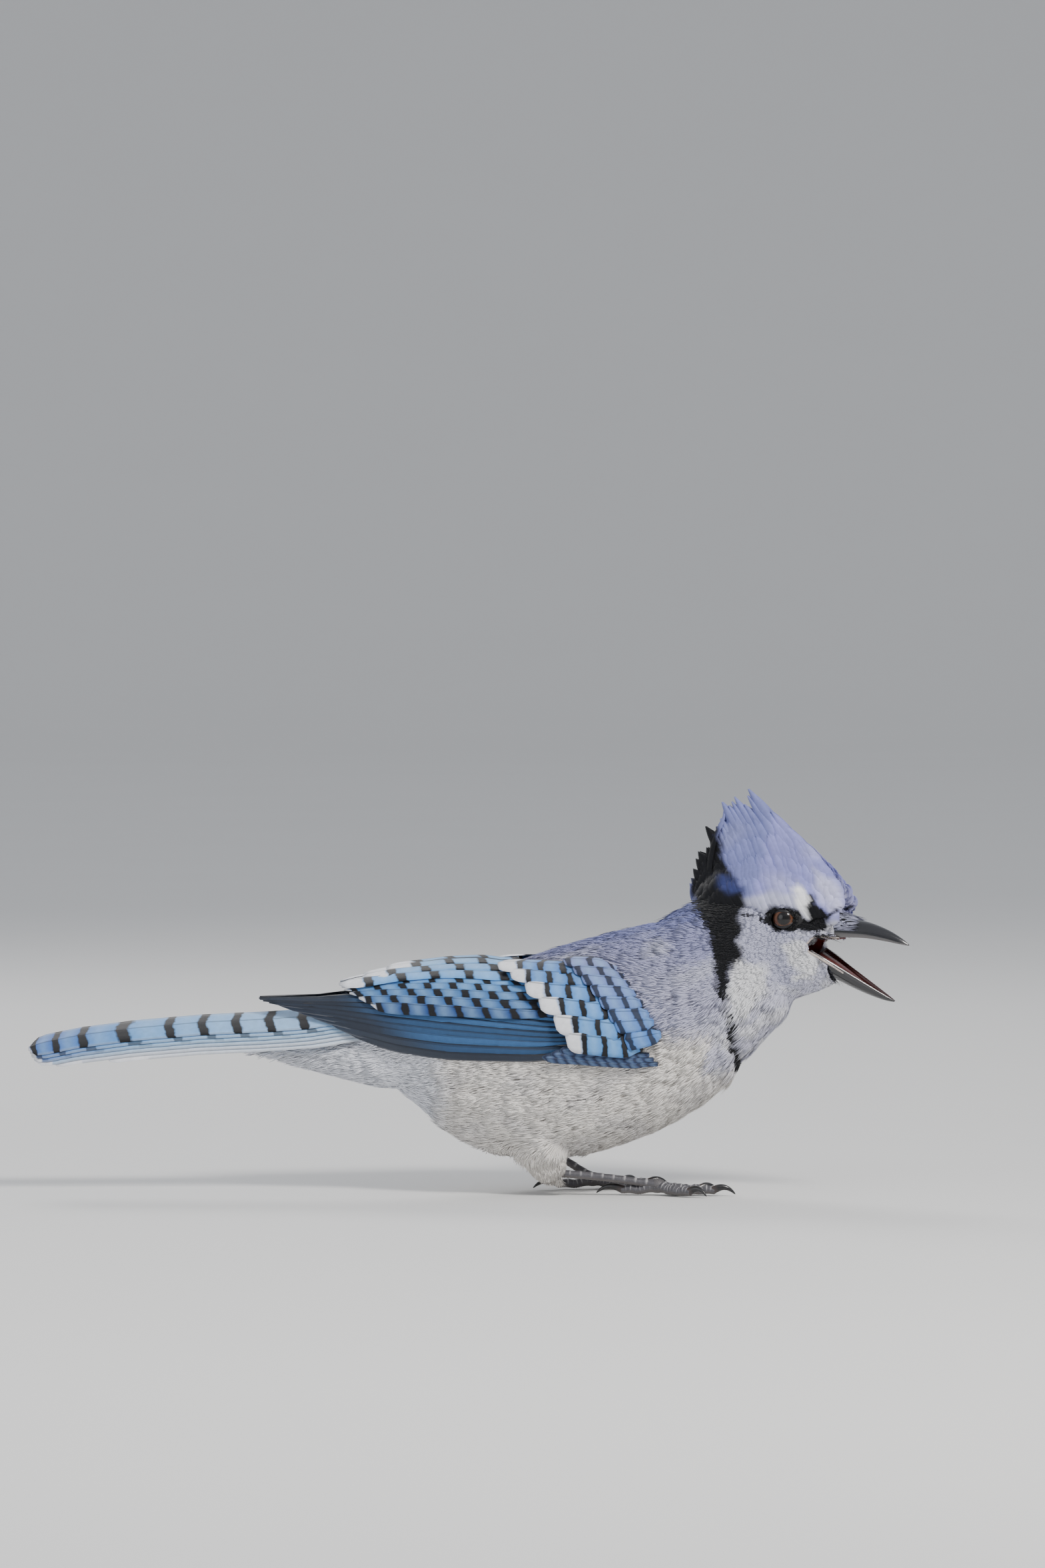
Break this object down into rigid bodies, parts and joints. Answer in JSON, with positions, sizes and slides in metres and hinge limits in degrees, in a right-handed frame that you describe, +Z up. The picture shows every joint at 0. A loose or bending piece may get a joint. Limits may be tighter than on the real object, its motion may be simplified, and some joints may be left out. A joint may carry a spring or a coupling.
{
  "type": "blue jay",
  "caption": "Still, life-size blue jay that stands in a low crouch, its crest raised and its bill wide open.",
  "frame": {"origin": "on the floor, under the middle of the whole bird's box", "axes": "+X is the way the body faces, +Y its left, +Z up"},
  "size_m": [0.2766, 0.0666, 0.1276],
  "materials": {
    "plumage": "soft feathered skin",
    "crest_feathers": "soft feathers",
    "wing_feathers": "feather vanes with a faint sheen",
    "tail_feathers": "feather vanes with a faint sheen",
    "eyes": "wet and clear",
    "bill": "smooth horn",
    "mouth": "moist",
    "leg_skin": "scaly",
    "claws": "horn"
  },
  "bodies": {
    "root": {"bill_lower": "bill", "bill_upper": "bill", "claw_left_1": "claws", "claw_left_2": "claws", "claw_left_3": "claws", "claw_left_4": "claws", "claw_right_1": "claws", "claw_right_2": "claws", "claw_right_3": "claws", "claw_right_4": "claws", "crest": "crest_feathers", "eye_left": "eyes", "eye_right": "eyes", "foot_left": "leg_skin", "foot_right": "leg_skin", "head": "plumage", "leg_left": "leg_skin", "leg_right": "leg_skin", "neck": "plumage", "tail": "tail_feathers", "thigh_left": "plumage", "thigh_right": "plumage", "tongue": "mouth", "torso": "plumage", "undertail": "plumage", "wing_left": "wing_feathers", "wing_right": "wing_feathers"}
  },
  "joints": []
}
